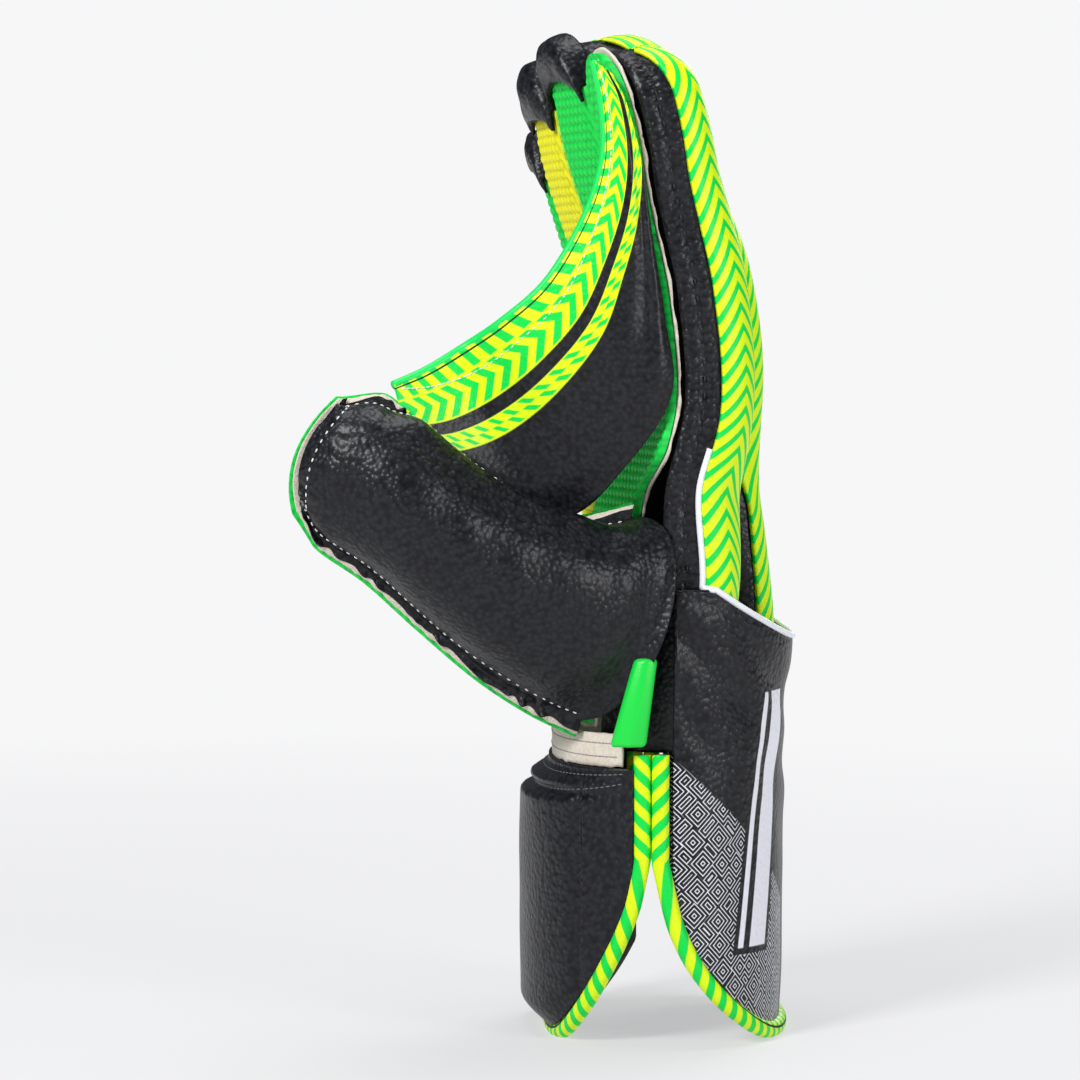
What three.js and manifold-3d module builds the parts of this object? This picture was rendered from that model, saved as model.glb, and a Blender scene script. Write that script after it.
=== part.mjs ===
// A wicketkeeping glove for the right hand, standing on the two hems of its cuff with the fingers up.
// Millimetres. +Z runs up the fingers, -X is the palm side, +X the back of the hand,
// -Y the thumb side and +Y the little-finger side.
// The palm is one cupped rubber sheet on a leather backing. Four leather finger stalls, a thumb stall and
// a catching web are stitched round its edge, and a two-piece cuff closes round the wrist.

import * as THREE from "three";
import { mergeVertices } from "three/addons/utils/BufferGeometryUtils.js";
import Module from "manifold-3d";

// Driving sizes
const GLOVE_LENGTH = 310; // hem to middle fingertip
const HAND_DEPTH = 80; // palm side to back at the wrist
const HAND_WIDTH = 100; // across the four fingers
const CUFF_HEIGHT = 88; // hem to wrist strip
const CUFF_WIDTH = 104; // across the mouth of the cuff
const THUMB_LENGTH = 112; // wrist side of the thumb to its tip
const THUMB_PUFF = 25; // rise of the thumb stall over its rubber
const RUBBER = 2.2; // dimpled rubber face
const BACKING = 1.3; // pale leather behind the rubber
const BACKING_LIP = 1.2; // how far the backing shows past the rubber
const LEATHER = 1.8; // stall and cuff leather
const STRIP = 1.2; // printed strip along the back of a finger
const SLIT = 1.6; // gap between two fingers
const PIPING_R = 2.7; // radius of the piping round the cuff
const FLAT = 0.4; // how far the piping is pressed flat by the floor
const PAD = 9; // padding of the wrist pad at its fullest
const TAB_LENGTH = 27; // soft tab at the wrist
const TAB_WIDTH = 10;
const TAB_THICKNESS = 3.2;
const TAB_BACK = 0.264; // its middle behind the wrist pad, over THUMB_LENGTH
const TAB_UP = 0.952; // and its height, over THUMB_LENGTH
const TAB_OUT = 0.4; // its back face is this share of HAND_WIDTH out
const TAB_OVER = 0.73; // and this share of THUMB_PUFF more, on the thumb
const WEB_THICKNESS = 2.6;
const SEAT = 0.3; // gap between two pieces that are sewn together
const SHEET_SEAT = 0.8; // gap between the cupped rubber and its backing

// Cupped surface of the palm rubber. Columns: height over GLOVE_LENGTH, then how far the surface lies
// behind the wrist pad, over HAND_DEPTH, at the index edge, two lines inside it, and the little-finger edge.
const PALM_ROWS = [
  { height: 0.27, index: 0.27, inner: 0.06, outer: 0.05, little: 0.28 },
  { height: 0.355, index: 0.33, inner: 0.11, outer: 0.07, little: 0.27 },
  { height: 0.45, index: 0.42, inner: 0.2, outer: 0.14, little: 0.26 },
  { height: 0.55, index: 0.42, inner: 0.3, outer: 0.2, little: 0.24 },
  { height: 0.64, index: 0.49, inner: 0.38, outer: 0.26, little: 0.22 },
  { height: 0.74, index: 0.46, inner: 0.36, outer: 0.22, little: 0.16 },
  { height: 0.8, index: 0.41, inner: 0.29, outer: 0.14, little: 0.1 },
  { height: 0.845, index: 0.37, inner: 0.23, outer: 0.08, little: 0.05 },
  { height: 0.89, index: 0.34, inner: 0.18, outer: 0.03, little: 0.02 },
  { height: 0.94, index: 0.29, inner: 0.13, outer: 0, little: -0.01 },
  { height: 1.0, index: 0.22, inner: 0.06, outer: -0.04, little: -0.05 },
];

// Lines between the fingers. Columns: place across HAND_WIDTH at the crotch and at the tip.
const FINGER_LINES = [
  { crotch: -0.5, tip: -0.53 },
  { crotch: -0.25, tip: -0.27 },
  { crotch: 0, tip: 0.01 },
  { crotch: 0.25, tip: 0.29 },
  { crotch: 0.48, tip: 0.54 },
];

// Finger stalls. Columns: tip height and base height over GLOVE_LENGTH, depth over HAND_DEPTH at the
// base, at the crotch and at the start of the tip, and the side walls that run all the way down.
const FINGERS = [
  { name: "index", tip: 0.978, base: 0.44, depths: [0.44, 0.34, 0.33], nearWall: true },
  { name: "middle", tip: 0.994, base: 0.405, depths: [0.75, 0.48, 0.42] },
  { name: "ring", tip: 0.975, base: 0.405, depths: [0.8, 0.52, 0.44] },
  { name: "little", tip: 0.91, base: 0.44, depths: [0.7, 0.46, 0.36], farWall: true },
];
const CROTCH = 0.645; // height over GLOVE_LENGTH where the fingers part
const TIP_ROUND = 0.055; // height over GLOVE_LENGTH of the rounded fingertip
const PALM_BOTTOM = 0.318; // height over GLOVE_LENGTH of the palm's lower edge
const VALLEY_ANGLE = 0.62; // radians: where a stall's wall stops over the back of the hand
const THUMB_GAP_TOP = 0.545; // heights over GLOVE_LENGTH between which the palm opens to the thumb
const THUMB_GAP_BOTTOM = 0.3;
const THUMB_GAP = 0.13; // how far the palm edge steps in there, over HAND_WIDTH

// Thumb sheet. Columns: share of the way to the tip, then the lower and upper edge as a place behind the
// wrist pad and a height, over THUMB_LENGTH, and how far out the edge lies, over HAND_WIDTH.
const THUMB_ROWS = [
  { along: 0, lower: [0.1, 0.86], upper: [0.25, 1.47], out: 0.37 },
  { along: 0.15, lower: [-0.03, 0.925], upper: [0.08, 1.435], out: 0.4 },
  { along: 0.3, lower: [-0.17, 1.02], upper: [-0.04, 1.47], out: 0.43 },
  { along: 0.5, lower: [-0.33, 1.16], upper: [-0.19, 1.57], out: 0.47 },
  { along: 0.7, lower: [-0.47, 1.29], upper: [-0.32, 1.68], out: 0.51 },
  { along: 0.88, lower: [-0.6, 1.385], upper: [-0.42, 1.77], out: 0.54 },
  { along: 1, lower: [-0.635, 1.45], upper: [-0.51, 1.785], out: 0.56 },
];

// Catching web, from the index tip to the thumb tip. Columns: the free edge and the sewn edge as a place
// behind the wrist pad over HAND_DEPTH and a height over GLOVE_LENGTH, and how far out over HAND_WIDTH.
const WEB_ROWS = [
  { free: [0.205, 0.968], sewn: [0.275, 0.955], out: 0.558 },
  { free: [0.235, 0.93], sewn: [0.33, 0.925], out: 0.5555 },
  { free: [0.245, 0.885], sewn: [0.385, 0.87], out: 0.55 },
  { free: [0.215, 0.845], sewn: [0.425, 0.8], out: 0.541 },
  { free: [0.14, 0.8], sewn: [0.475, 0.72], out: 0.532 },
  { free: [0.02, 0.752], sewn: [0.5, 0.645], out: 0.529 },
  { free: [-0.14, 0.716], sewn: [0.33, 0.575], out: 0.49 },
];
// Where the web is sewn to the thumb. Columns: place along the thumb, then how far the free edge lies
// from the sewn one, back and up over THUMB_LENGTH, and how far out over HAND_WIDTH.
const WEB_THUMB_ROWS = [
  { along: 0.15, free: [-0.28, 0.446], out: 0.43 },
  { along: 0.435, free: [-0.164, 0.282], out: 0.48 },
  { along: 0.79, free: [-0.02, 0.058], out: 0.55 },
];
const WEB_OVER_THUMB = 3.2; // from the thumb rubber's edge to the web
const WEB_BELLY = 0.03; // how far its middle sags outwards, over HAND_WIDTH

// Cuff in plan: the back half is the gauntlet and the front half the wrist pad.
const CUFF_CENTRE = 0.42; // line where the two halves meet, over HAND_DEPTH behind the wrist pad
const GAUNTLET_REACH = 0.54; // from that line to the back, over HAND_DEPTH
const PAD_WIDTH = 0.955; // width of the front half inside, over CUFF_WIDTH
const PAD_REACH = 0.36; // from that line to the front of the pad's inner face, over HAND_DEPTH
// Hems. Columns: angle from the middle of the half, in degrees, and height over CUFF_HEIGHT.
const GAUNTLET_HEM = [
  { angle: 0, height: 0 },
  { angle: 28, height: 0 },
  { angle: 50, height: 0.07 },
  { angle: 70, height: 0.21 },
  { angle: 82, height: 0.4 },
  { angle: 88, height: 0.66 },
];
const PAD_HEM = [
  { angle: 0, height: 0 },
  { angle: 30, height: 0 },
  { angle: 50, height: 0.1 },
  { angle: 68, height: 0.26 },
  { angle: 82, height: 0.46 },
  { angle: 88, height: 0.66 },
];
// Gauntlet. Columns: height over GLOVE_LENGTH, reach over GAUNTLET_REACH and width over CUFF_WIDTH.
const GAUNTLET_ROWS = [
  { height: 0, reach: 0.97, width: 1 },
  { height: 0.08, reach: 1, width: 0.99 },
  { height: 0.27, reach: 1, width: 0.97 },
  { height: 0.38, reach: 1.02, width: 0.97 },
  { height: 0.44, reach: 0.98, width: 0.95 },
];
const GAUNTLET_TOP = 0.4; // height over GLOVE_LENGTH of its upper edge in the middle
const GAUNTLET_SIDE_TOP = 0.414; // and beside the index and little fingers

const COLOURS = {
  black: { color: 0x16171b, roughness: 0.5 },
  green: { color: 0x00d83c, roughness: 0.6 },
  lime: { color: 0xc8f000, roughness: 0.55 },
  cream: { color: 0xd9cdbd, roughness: 0.9 },
};

const wasm = await Module();
wasm.setup();
const glove = new THREE.Group();
const V = (x, y, z) => new THREE.Vector3(x, y, z);
const lerp = THREE.MathUtils.lerp;
const smooth = THREE.MathUtils.smoothstep;

// Value of one column of a table at a place along it, on a smooth curve through the rows.
function read(rows, key, column, at) {
  let i = 0;
  while (i < rows.length - 2 && at > rows[i + 1][key]) i += 1;
  const row = (k) => rows[Math.min(Math.max(k, 0), rows.length - 1)];
  const span = (a, b) => Math.max(row(b)[key] - row(a)[key], 1e-6);
  const slope = (k) => (row(k + 1)[column] - row(k - 1)[column]) / span(Math.max(k - 1, 0), k + 1);
  const width = span(i, i + 1);
  const t = Math.min(Math.max((at - row(i)[key]) / width, 0), 1);
  const [a, b] = [row(i)[column], row(i + 1)[column]];
  const [h00, h10] = [2 * t ** 3 - 3 * t ** 2 + 1, t ** 3 - 2 * t ** 2 + t];
  const [h01, h11] = [-2 * t ** 3 + 3 * t ** 2, t ** 3 - t ** 2];
  return h00 * a + h10 * width * slope(i) + h01 * b + h11 * width * slope(i + 1);
}

// A closed body from a box of cells, each corner moved by place(u, v, w) with u, v and w from 0 to 1.
function body(place, columns, rows, layers = 1) {
  const box = new THREE.BoxGeometry(1, 1, 1, columns, rows, layers);
  const p = box.attributes.position;
  for (let i = 0; i < p.count; i += 1) {
    const q = place(p.getX(i) + 0.5, p.getY(i) + 0.5, p.getZ(i) + 0.5);
    p.setXYZ(i, q.x, q.y, q.z);
  }
  return welded(box);
}

// Only positions, shared corners merged, and faces that shrank to a line left out.
function welded(geometry) {
  for (const name of ["normal", "uv"]) geometry.deleteAttribute(name);
  geometry.clearGroups();
  const merged = mergeVertices(geometry, 2e-3);
  const corners = merged.index.array;
  const kept = [];
  for (let i = 0; i < corners.length; i += 3) {
    const [a, b, c] = corners.slice(i, i + 3);
    if (a !== b && b !== c && c !== a) kept.push(a, b, c);
  }
  merged.setIndex(kept);
  return merged;
}

function solid(geometry) {
  const clean = welded(geometry.clone());
  return new wasm.Manifold(
    new wasm.Mesh({
      numProp: 3,
      vertProperties: clean.attributes.position.array,
      triVerts: new Uint32Array(clean.index.array),
    }),
  );
}

function geometryOf(manifold) {
  const mesh = manifold.getMesh();
  const geometry = new THREE.BufferGeometry();
  geometry.setAttribute("position", new THREE.BufferAttribute(mesh.vertProperties, 3));
  geometry.setIndex(new THREE.BufferAttribute(mesh.triVerts, 1));
  return geometry;
}

// Unit normal of a surface, by small steps that stay inside it.
function normalOf(surface, u, v) {
  const step = 1e-3;
  const [u0, u1] = [Math.max(u - step, 0), Math.min(u + step, 1)];
  const [v0, v1] = [Math.max(v - step, 0), Math.min(v + step, 1)];
  const across = surface(u1, v).sub(surface(u0, v));
  const along = surface(u, v1).sub(surface(u, v0));
  return across.cross(along).normalize();
}

// A sheet of even thickness: surface(u, v) lifted along its normal from one lift to another.
function sheet(surface, low, high, columns, rows) {
  const place = (u, v, w) => {
    const point = surface(u, v);
    return point.addScaledVector(normalOf(surface, u, v), lerp(low, high, w));
  };
  return body(place, columns, rows);
}

function add(name, geometry, look) {
  const mesh = new THREE.Mesh(geometry, new THREE.MeshStandardMaterial({ ...COLOURS[look] }));
  mesh.name = name;
  glove.add(mesh);
  return mesh;
}

// Distance behind the wrist pad of the rubber's front face, at a place y across and height z.
function palmDepth(y, z) {
  const at = z / GLOVE_LENGTH;
  const t = THREE.MathUtils.clamp(y / HAND_WIDTH + 0.5, -0.1, 1.1) * 3;
  const value = (column) => read(PALM_ROWS, "height", column, at);
  const [a, b, c, d] = ["index", "inner", "outer", "little"].map(value);
  // Cubic through the four columns
  const x =
    (-a * (t - 1) * (t - 2) * (t - 3)) / 6 +
    (b * t * (t - 2) * (t - 3)) / 2 -
    (c * t * (t - 1) * (t - 3)) / 2 +
    (d * t * (t - 1) * (t - 2)) / 6;
  return x * HAND_DEPTH;
}

// Place across of the line between finger k - 1 and finger k at height z.
function fingerLine(k, z) {
  const row = FINGER_LINES[k];
  const up = smooth(z / GLOVE_LENGTH, CROTCH, 1);
  const low = smooth(z / GLOVE_LENGTH, 0.28, CROTCH);
  return HAND_WIDTH * lerp(row.crotch, row.tip, up) * lerp(0.93, 1, low);
}

// Point on the palm at a place y across and height z, lifted behind the rubber's front face.
function palmPoint(y, z, lift) {
  const step = 0.5;
  const slopeY = (palmDepth(y + step, z) - palmDepth(y - step, z)) / (2 * step);
  const slopeZ = (palmDepth(y, z + step) - palmDepth(y, z - step)) / (2 * step);
  const normal = V(1, -slopeY, -slopeZ).normalize();
  return V(palmDepth(y, z), y, z).addScaledVector(normal, lift);
}

// The same lift measured straight back, so that each stall keeps to its own finger.
function palmBehind(y, z, lift) {
  const step = 0.5;
  const slopeY = (palmDepth(y + step, z) - palmDepth(y - step, z)) / (2 * step);
  const slopeZ = (palmDepth(y, z + step) - palmDepth(y, z - step)) / (2 * step);
  return V(palmDepth(y, z) + lift * Math.hypot(1, slopeY, slopeZ), y, z);
}

// Direction square to a finger, in the plane of its own length.
function fingerBack(y, z) {
  const step = 4;
  const slope = (palmDepth(y, z + step) - palmDepth(y, z - step)) / (2 * step);
  return V(1, 0, -slope).normalize();
}

// Edge of the palm on the thumb side, which steps in where the thumb joins.
function thumbStep(z) {
  const at = z / GLOVE_LENGTH;
  const low = smooth(at, THUMB_GAP_BOTTOM - 0.03, THUMB_GAP_BOTTOM);
  const high = 1 - smooth(at, THUMB_GAP_TOP, THUMB_GAP_TOP + 0.05);
  return THUMB_GAP * HAND_WIDTH * low * high;
}

// The palm with its four fingers, cut apart by narrow slits.
function palmSheet(low, high, lip) {
  const cells = 4 * 4;
  const bottom = PALM_BOTTOM * GLOVE_LENGTH - lip;
  const crotch = CROTCH * GLOVE_LENGTH;
  const tipOf = (u) => {
    const f = Math.min(Math.floor(u * 4), 3);
    const across = Math.abs((u * 4 - f) * 2 - 1);
    const round = TIP_ROUND * GLOVE_LENGTH;
    const top = FINGERS[f].tip * GLOVE_LENGTH + lip;
    return top - round * (1 - Math.sqrt(Math.max(1 - across ** 2.2, 0.02)));
  };
  const place = (u, v, w) => {
    const share = v < 0.5 ? v * 2 : (v - 0.5) * 2;
    const z = v < 0.5 ? lerp(bottom, crotch, share) : lerp(crotch, tipOf(u), share);
    const f = Math.min(Math.floor(u * 4), 3);
    const near = fingerLine(0, z) + thumbStep(z) - lip;
    const far = fingerLine(4, z) + lip;
    const line = (k) => (k === 0 ? near : k === 4 ? far : fingerLine(k, z));
    return palmPoint(lerp(line(f), line(f + 1), u * 4 - f), z, lerp(low, high, w));
  };
  let sheetSolid = solid(body(place, cells, 2 * 9));
  const half = SLIT / 2 - lip / 4;
  for (const k of [1, 2, 3]) {
    const cutter = (u, v, w) => {
      const z = lerp(crotch, GLOVE_LENGTH * 1.03, v);
      return palmPoint(fingerLine(k, z) + lerp(-half, half, u), z, lerp(-6, 10, w));
    };
    sheetSolid = sheetSolid.subtract(solid(body(cutter, 1, 8)));
  }
  return geometryOf(sheetSolid);
}

// A finger stall: a leather arch over the palm sheet that closes over the fingertip.
const STALL_LIFT = RUBBER + SHEET_SEAT + BACKING + 3 * SEAT;
const STALL_COLUMNS = 10;
const STALL_ROWS = 12;
const CAP_START = 8 / STALL_ROWS; // the rows above this close over the fingertip
function stallPoint(f, u, v, inset, arc = [0, 1]) {
  const finger = FINGERS[f];
  const [base, tip] = [finger.base * GLOVE_LENGTH, finger.tip * GLOVE_LENGTH];
  const capStart = tip - TIP_ROUND * GLOVE_LENGTH;
  const top = tip - inset;
  const straight = Math.min(v / CAP_START, 1);
  const turn = (Math.max(v - CAP_START, 0) / (1 - CAP_START)) * (Math.PI / 2);
  const z = turn > 0 ? lerp(capStart, top, Math.sin(turn)) : lerp(base, capStart, straight);
  const shrink = Math.cos(turn);
  const at = z / GLOVE_LENGTH;
  const low = smooth(at, finger.base, CROTCH);
  const high = smooth(at, CROTCH, capStart / GLOVE_LENGTH);
  const share = lerp(lerp(finger.depths[0], finger.depths[1], low), finger.depths[2], high);
  const depth = (share * HAND_DEPTH - STALL_LIFT - inset) * shrink;
  const [left, right] = [fingerLine(f, z), fingerLine(f + 1, z)];
  const centre = (left + right) / 2;
  const half = ((right - left) / 2 - SLIT / 2 - inset) * shrink;
  // Over the back of the hand the inner walls stop at the valley between two fingers
  const open = 1 - smooth(at, CROTCH - 0.09, CROTCH - 0.01);
  const start = finger.nearWall ? 0 : VALLEY_ANGLE * open;
  const end = Math.PI - (finger.farWall ? 0 : VALLEY_ANGLE * open);
  const turnShare = lerp(arc[0], arc[1], u);
  const foot = palmBehind(centre - half * Math.cos(Math.PI * turnShare), z, STALL_LIFT);
  const rise = depth * Math.max(Math.sin(lerp(start, end, turnShare)), 0) ** 0.75;
  return foot.addScaledVector(fingerBack(centre, z), rise);
}

function fingerStall(f) {
  const place = (u, v, w) => stallPoint(f, u, v, lerp(LEATHER, 0, w));
  return body(place, STALL_COLUMNS, STALL_ROWS);
}

// The printed strip lies on the back of the stall and ends where the fingertip starts to round over.
function fingerStrip(f) {
  const [columns, rows] = [STALL_COLUMNS - 4, STALL_ROWS - 2];
  const arc = [2 / STALL_COLUMNS, 1 - 2 / STALL_COLUMNS];
  const place = (u, v, w) => stallPoint(f, u, (v * rows) / STALL_ROWS, -2 * SEAT - w * STRIP, arc);
  return body(place, columns, rows);
}

// Thumb: a rubber sheet with the same backing, and a gathered leather dome over it.
function thumbEdge(column, at) {
  const flat = THUMB_ROWS.map((row) => ({ along: row.along, x: row[column][0], z: row[column][1] }));
  const out = read(THUMB_ROWS, "along", "out", at) * HAND_WIDTH;
  const [x, z] = [read(flat, "along", "x", at), read(flat, "along", "z", at)];
  return V(x * THUMB_LENGTH, -out, z * THUMB_LENGTH);
}

function thumbPoint(across, at, grow = 0) {
  const [lower, upper] = [thumbEdge("lower", at), thumbEdge("upper", at)];
  const wide = upper.clone().sub(lower);
  const share = across + (grow * (2 * across - 1)) / wide.length();
  const point = lower.addScaledVector(wide, share);
  // The tip is rounded, and the face is hollowed a little towards the fingers
  const along = thumbEdge("upper", 1).sub(thumbEdge("upper", 0.9)).normalize();
  const bow = smooth(at, 0.75, 1) * (0.25 - (across - 0.5) ** 2) * 4;
  point.addScaledVector(along, 0.07 * THUMB_LENGTH * bow + grow * smooth(at, 0.9, 1));
  return point;
}

const THUMB_NORMAL = V(0.18, -1, 0.12).normalize();
const THUMB_BASE_NORMAL = V(0.8, -0.58, 0.12).normalize();
const thumbLift = (at) => THUMB_BASE_NORMAL.clone().lerp(THUMB_NORMAL, smooth(at, 0, 0.45)).normalize();

function thumbSheet(low, high, grow) {
  const place = (u, v, w) => thumbPoint(u, v, grow).addScaledVector(THUMB_NORMAL, lerp(low, high, w));
  return body(place, 6, 8);
}

function thumbDome(u, v, inset) {
  const at = Math.min(v, 1);
  const margin = 0.045 + inset / (0.45 * THUMB_LENGTH);
  const across = lerp(margin, 1 - margin, (1 - Math.cos(Math.PI * u)) / 2);
  const end = Math.min(at, 1 - inset / THUMB_LENGTH);
  const close = Math.sqrt(Math.max(1 - smooth(end, 0.55, 1.04) ** 2, 0));
  const height = (THUMB_PUFF * (1.12 - 0.3 * end) * close - inset) * Math.sin(Math.PI * u) ** 0.8;
  const foot = thumbPoint(across, end).addScaledVector(THUMB_NORMAL, RUBBER + BACKING + 2 * SEAT);
  return foot.addScaledVector(thumbLift(end), Math.max(height, 0));
}

// Both edges of the web, first beside the index finger and then over the thumb
const webRows = WEB_ROWS.map(({ free, sewn, out }) => ({
  freeX: free[0] * HAND_DEPTH,
  freeZ: free[1] * GLOVE_LENGTH,
  sewnX: sewn[0] * HAND_DEPTH,
  sewnZ: sewn[1] * GLOVE_LENGTH,
  out,
}));
for (const { along, free, out } of WEB_THUMB_ROWS) {
  const thumb = thumbEdge("upper", along);
  const [sewnX, sewnZ] = [thumb.x, thumb.z + WEB_OVER_THUMB];
  const [freeX, freeZ] = [sewnX + free[0] * THUMB_LENGTH, sewnZ + free[1] * THUMB_LENGTH];
  webRows.push({ freeX, freeZ, sewnX, sewnZ, out });
}
webRows.forEach((row, i) => Object.assign(row, { share: i / (webRows.length - 1) }));

function webPoint(u, v) {
  const value = (column) => read(webRows, "share", column, v);
  const free = V(value("freeX"), 0, value("freeZ"));
  const point = free.lerp(V(value("sewnX"), 0, value("sewnZ")), u);
  const belly = WEB_BELLY * Math.sin(Math.PI * u) * Math.sin(Math.PI * v);
  point.y = -HAND_WIDTH * (value("out") + belly);
  return point;
}

// Cuff halves. turn is the angle from the middle of the half, side is 1 for the back and -1 for the palm.
function cuffPoint(side, turn, reach, width) {
  const round = 0.85;
  const x = CUFF_CENTRE * HAND_DEPTH + side * reach * Math.cos(turn) ** round;
  const y = (width / 2) * Math.sign(turn) * Math.abs(Math.sin(turn)) ** round;
  return V(x, y, 0);
}

function hemHeight(rows, turn) {
  const angle = Math.abs(THREE.MathUtils.radToDeg(turn));
  return read(rows, "angle", "height", angle) * CUFF_HEIGHT;
}

// Height where the shell starts, clear of the piping that runs along its hem.
function aboveHem(rows, turn, reach) {
  const step = 0.02;
  const slope = (hemHeight(rows, turn + step) - hemHeight(rows, turn - step)) / (2 * step * reach);
  return hemHeight(rows, turn) + PIPING_R + (PIPING_R + SEAT) * Math.hypot(1, slope);
}

const EDGE_TURN = THREE.MathUtils.degToRad(83);
const PAD_EDGE = THREE.MathUtils.degToRad(79);
const STRIP_EDGE = THREE.MathUtils.degToRad(77);
const PIPED_EDGE = THREE.MathUtils.degToRad(87.2); // where the two pipings run side by side
const gauntletRow = (column, z) => read(GAUNTLET_ROWS, "height", column, z / GLOVE_LENGTH);
const gauntletReach = (z) => gauntletRow("reach", z) * GAUNTLET_REACH * HAND_DEPTH;
const gauntletWidth = (z) => gauntletRow("width", z) * CUFF_WIDTH;

function gauntletPoint(u, v) {
  const turn = lerp(-EDGE_TURN, EDGE_TURN, u);
  const low = aboveHem(GAUNTLET_HEM, turn, GAUNTLET_REACH * HAND_DEPTH);
  const side = smooth(Math.abs(turn), Math.PI * 0.15, Math.PI * 0.22);
  const z = lerp(low, lerp(GAUNTLET_TOP, GAUNTLET_SIDE_TOP, side) * GLOVE_LENGTH, v);
  return cuffPoint(1, turn, gauntletReach(z), gauntletWidth(z)).setZ(z);
}

const PAD_TOP = CUFF_HEIGHT - 2;
function padFill(z, low) {
  return PAD * smooth(z - low, -2, 0.14 * CUFF_HEIGHT) * (1 - smooth(z / PAD_TOP, 0.9, 0.99));
}

function padPoint(u, v, w) {
  const turn = lerp(PAD_EDGE, -PAD_EDGE, u);
  const low = aboveHem(PAD_HEM, turn, PAD_REACH * HAND_DEPTH);
  const z = lerp(low, PAD_TOP, v);
  const fill = padFill(z, low) * Math.cos(turn);
  const thick = LEATHER + fill;
  const reach = PAD_REACH * HAND_DEPTH + w * thick;
  return cuffPoint(-1, turn, reach, CUFF_WIDTH * PAD_WIDTH + w * 2 * LEATHER).setZ(z);
}

// Piping: a round cord sewn along a hem, down the near edge, round under the half and up the far edge.
class HemCurve extends THREE.Curve {
  constructor(place) {
    super();
    this.place = place;
  }

  getPoint(t, target = new THREE.Vector3()) {
    return target.copy(this.place(t));
  }
}

function piping(side, rows, reach, width) {
  const rise = 0.24;
  const edge = PIPED_EDGE;
  const place = (t) => {
    const up = Math.max(rise - t, t - (1 - rise), 0) / rise;
    const turn = lerp(-edge, edge, THREE.MathUtils.clamp((t - rise) / (1 - 2 * rise), 0, 1));
    const corner = hemHeight(rows, edge);
    const z = up > 0 ? lerp(corner, CUFF_HEIGHT, up) : hemHeight(rows, turn);
    return cuffPoint(side, turn, reach(z), width(z)).setZ(z + PIPING_R - FLAT);
  };
  const section = new THREE.Shape().absarc(0, 0, PIPING_R, 0, 2 * Math.PI);
  const cord = new THREE.ExtrudeGeometry(section, {
    steps: 44,
    curveSegments: 4,
    bevelEnabled: false,
    extrudePath: new HemCurve(place),
  });
  // Pressed flat where the glove stands on it
  return geometryOf(solid(cord).trimByPlane([0, 0, 1], 0));
}

// Pale leather strip round the palm side of the wrist
function wristStrip() {
  const surface = (u, v) => {
    const turn = lerp(STRIP_EDGE, -STRIP_EDGE, u);
    const z = lerp(PAD_TOP + SEAT, PALM_BOTTOM * GLOVE_LENGTH - BACKING_LIP - 3 * SEAT, v);
    return cuffPoint(-1, turn, PAD_REACH * HAND_DEPTH - 1, CUFF_WIDTH * 0.93).setZ(z);
  };
  return sheet(surface, 0, LEATHER, 16, 2);
}

// Soft tab over the joint between thumb and gauntlet
function tab() {
  const shape = (u, v, w) => {
    const [across, rise] = [u - 0.5, v - 0.5];
    const width = TAB_WIDTH * lerp(1.1, 0.7, v);
    const crown = TAB_THICKNESS * (1 - (2 * across) ** 2) * 0.5;
    const lean = 5.5 * rise;
    return V(across * width + lean, -(w * (TAB_THICKNESS + crown)), rise * TAB_LENGTH);
  };
  return body(shape, 6, 4);
}

// The pieces
add("palm_rubber", palmSheet(0, RUBBER, 0), "green");
add("palm_backing", palmSheet(RUBBER + SHEET_SEAT, RUBBER + SHEET_SEAT + BACKING, BACKING_LIP), "cream");
FINGERS.forEach((finger, f) => {
  add(`finger_stall_${finger.name}`, fingerStall(f), "black");
  add(`finger_strip_${finger.name}`, fingerStrip(f), "lime");
});
add("thumb_rubber", thumbSheet(0, RUBBER, 0.6), "green");
add("thumb_backing", thumbSheet(RUBBER + SEAT, RUBBER + SEAT + BACKING, 1.6), "cream");
add("thumb_stall", body((u, v, w) => thumbDome(u, v, lerp(LEATHER, 0, w)), 10, 9), "black");
add("web", sheet(webPoint, -WEB_THICKNESS / 2, WEB_THICKNESS / 2, 5, 18), "lime");
add("gauntlet", sheet(gauntletPoint, -LEATHER, 0, 18, 9), "black");
add("gauntlet_piping", piping(1, GAUNTLET_HEM, gauntletReach, gauntletWidth), "lime");
add("wrist_pad", body(padPoint, 16, 9), "black");
const padReach = () => PAD_REACH * HAND_DEPTH + 1;
const padWidth = () => CUFF_WIDTH * PAD_WIDTH;
add("wrist_pad_piping", piping(-1, PAD_HEM, padReach, padWidth), "lime");
add("wrist_strip", wristStrip(), "cream");
const wristTab = add("wrist_tab", tab(), "green");
const tabOut = TAB_OUT * HAND_WIDTH + TAB_OVER * THUMB_PUFF;
wristTab.position.set(TAB_BACK * THUMB_LENGTH, -tabOut, TAB_UP * THUMB_LENGTH);

// The origin is on the floor, under the middle of the part
const box = new THREE.Box3().setFromObject(glove);
const middle = box.getCenter(new THREE.Vector3());
glove.position.set(-middle.x, -middle.y, -box.min.z);

export default glove;
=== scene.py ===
# A wicketkeeping glove for the right hand, standing on the two hems of its cuff.
# Shapes are worked out in millimetres, in the part's own axes, and put into the frame in metres.

import math
from functools import lru_cache

import bmesh
import bpy
from mathutils import Matrix, Vector, noise


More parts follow.
